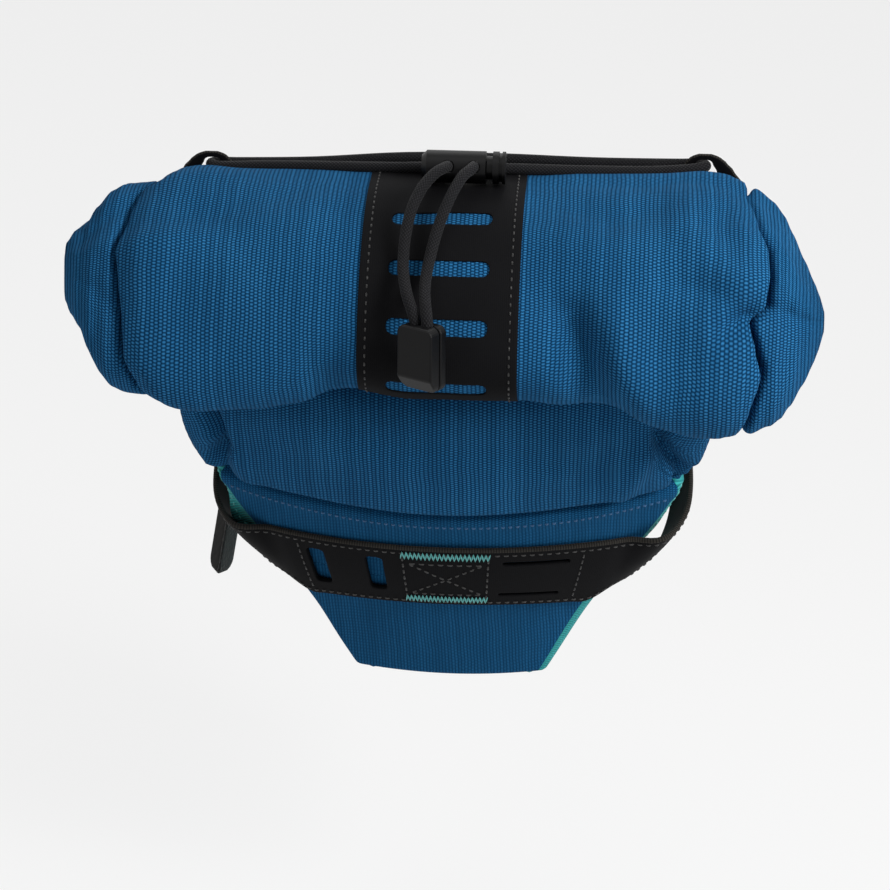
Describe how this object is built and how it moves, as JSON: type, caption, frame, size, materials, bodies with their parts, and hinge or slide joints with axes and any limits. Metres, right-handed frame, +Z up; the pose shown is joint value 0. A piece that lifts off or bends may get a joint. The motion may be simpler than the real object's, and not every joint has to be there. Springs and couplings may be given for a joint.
{
  "type": "saddle bag",
  "caption": "Tapered roll-top bag hung from two saddle rails and strapped to a seatpost, with an elastic cord, cord lock and slotted patches.",
  "frame": {"origin": "on the seatpost axis, at the middle of the seatpost strap", "axes": "+X to the right as seen from behind the bicycle, +Y forwards, +Z up; the seatpost leans 17 degrees back from +Z"},
  "size_m": [0.238, 0.2519, 0.2059],
  "materials": {
    "shell_fabric": "coarse ballistic weave",
    "side_fabric": "ribbed face cloth",
    "laminate": "matte coated laminate",
    "webbing": "woven webbing",
    "elastic_cord": "braided cover",
    "cord_plastic": "moulded, fine grain",
    "stiffener_sheet": "plain sheet",
    "spring_wire": "bright wire"
  },
  "bodies": {
    "bag": {"rear_panel": "shell_fabric", "rear_stiffener": "stiffener_sheet", "base_panel": "laminate", "base_stiffener": "stiffener_sheet", "left_side_panel": "side_fabric", "right_side_panel": "side_fabric", "front_panel": "laminate", "top_panel": "laminate", "collar_rear": "shell_fabric", "collar_left_gusset": "shell_fabric", "collar_right_gusset": "shell_fabric", "collar_front": "shell_fabric", "yoke_strap": "laminate", "left_rail_strap": "webbing", "right_rail_strap": "webbing", "seatpost_strap_loop": "webbing", "seatpost_strap_hook": "webbing"},
    "roll": {"roll_outer_wrap": "shell_fabric", "roll_inner_turns": "shell_fabric", "mouth_stiffener": "stiffener_sheet", "slotted_patch": "laminate", "left_cord_tab": "laminate", "right_cord_tab": "laminate", "shock_cord": "elastic_cord", "cord_lock_barrel": "cord_plastic", "cord_lock_spring": "spring_wire"},
    "plunger": {"cord_lock_plunger": "cord_plastic"},
    "tails": {"left_cord_tail": "elastic_cord", "right_cord_tail": "elastic_cord", "cord_end_body": "cord_plastic", "cord_end_cover": "cord_plastic"},
    "strap_end": {"strap_tail": "webbing"}
  },
  "joints": [
    {"name": "roll_lift", "type": "hinge", "parent": "bag", "child": "roll", "pos_m": [0, -0.148, 0.086], "axis": [-1, 0, 0], "range_deg": [0, 75]},
    {"name": "plunger_press", "type": "slide", "parent": "roll", "child": "plunger", "axis": [-1, 0, 0], "range_m": [0, 0.002], "stiffness_N_per_m": 500, "springref_m": -0.003, "deforming": ["cord_lock_spring"]},
    {"name": "tails_swing", "type": "hinge", "parent": "roll", "child": "tails", "pos_m": [0.0043, -0.17784, 0.13847], "axis": [-1, 0, 0], "range_deg": [0, 75]},
    {"name": "strap_end_swing", "type": "hinge", "parent": "bag", "child": "strap_end", "pos_m": [-0.078, -0.101, 0.01], "axis": [0.342, 0.9397, 0], "range_deg": [0, 70]}
  ]
}
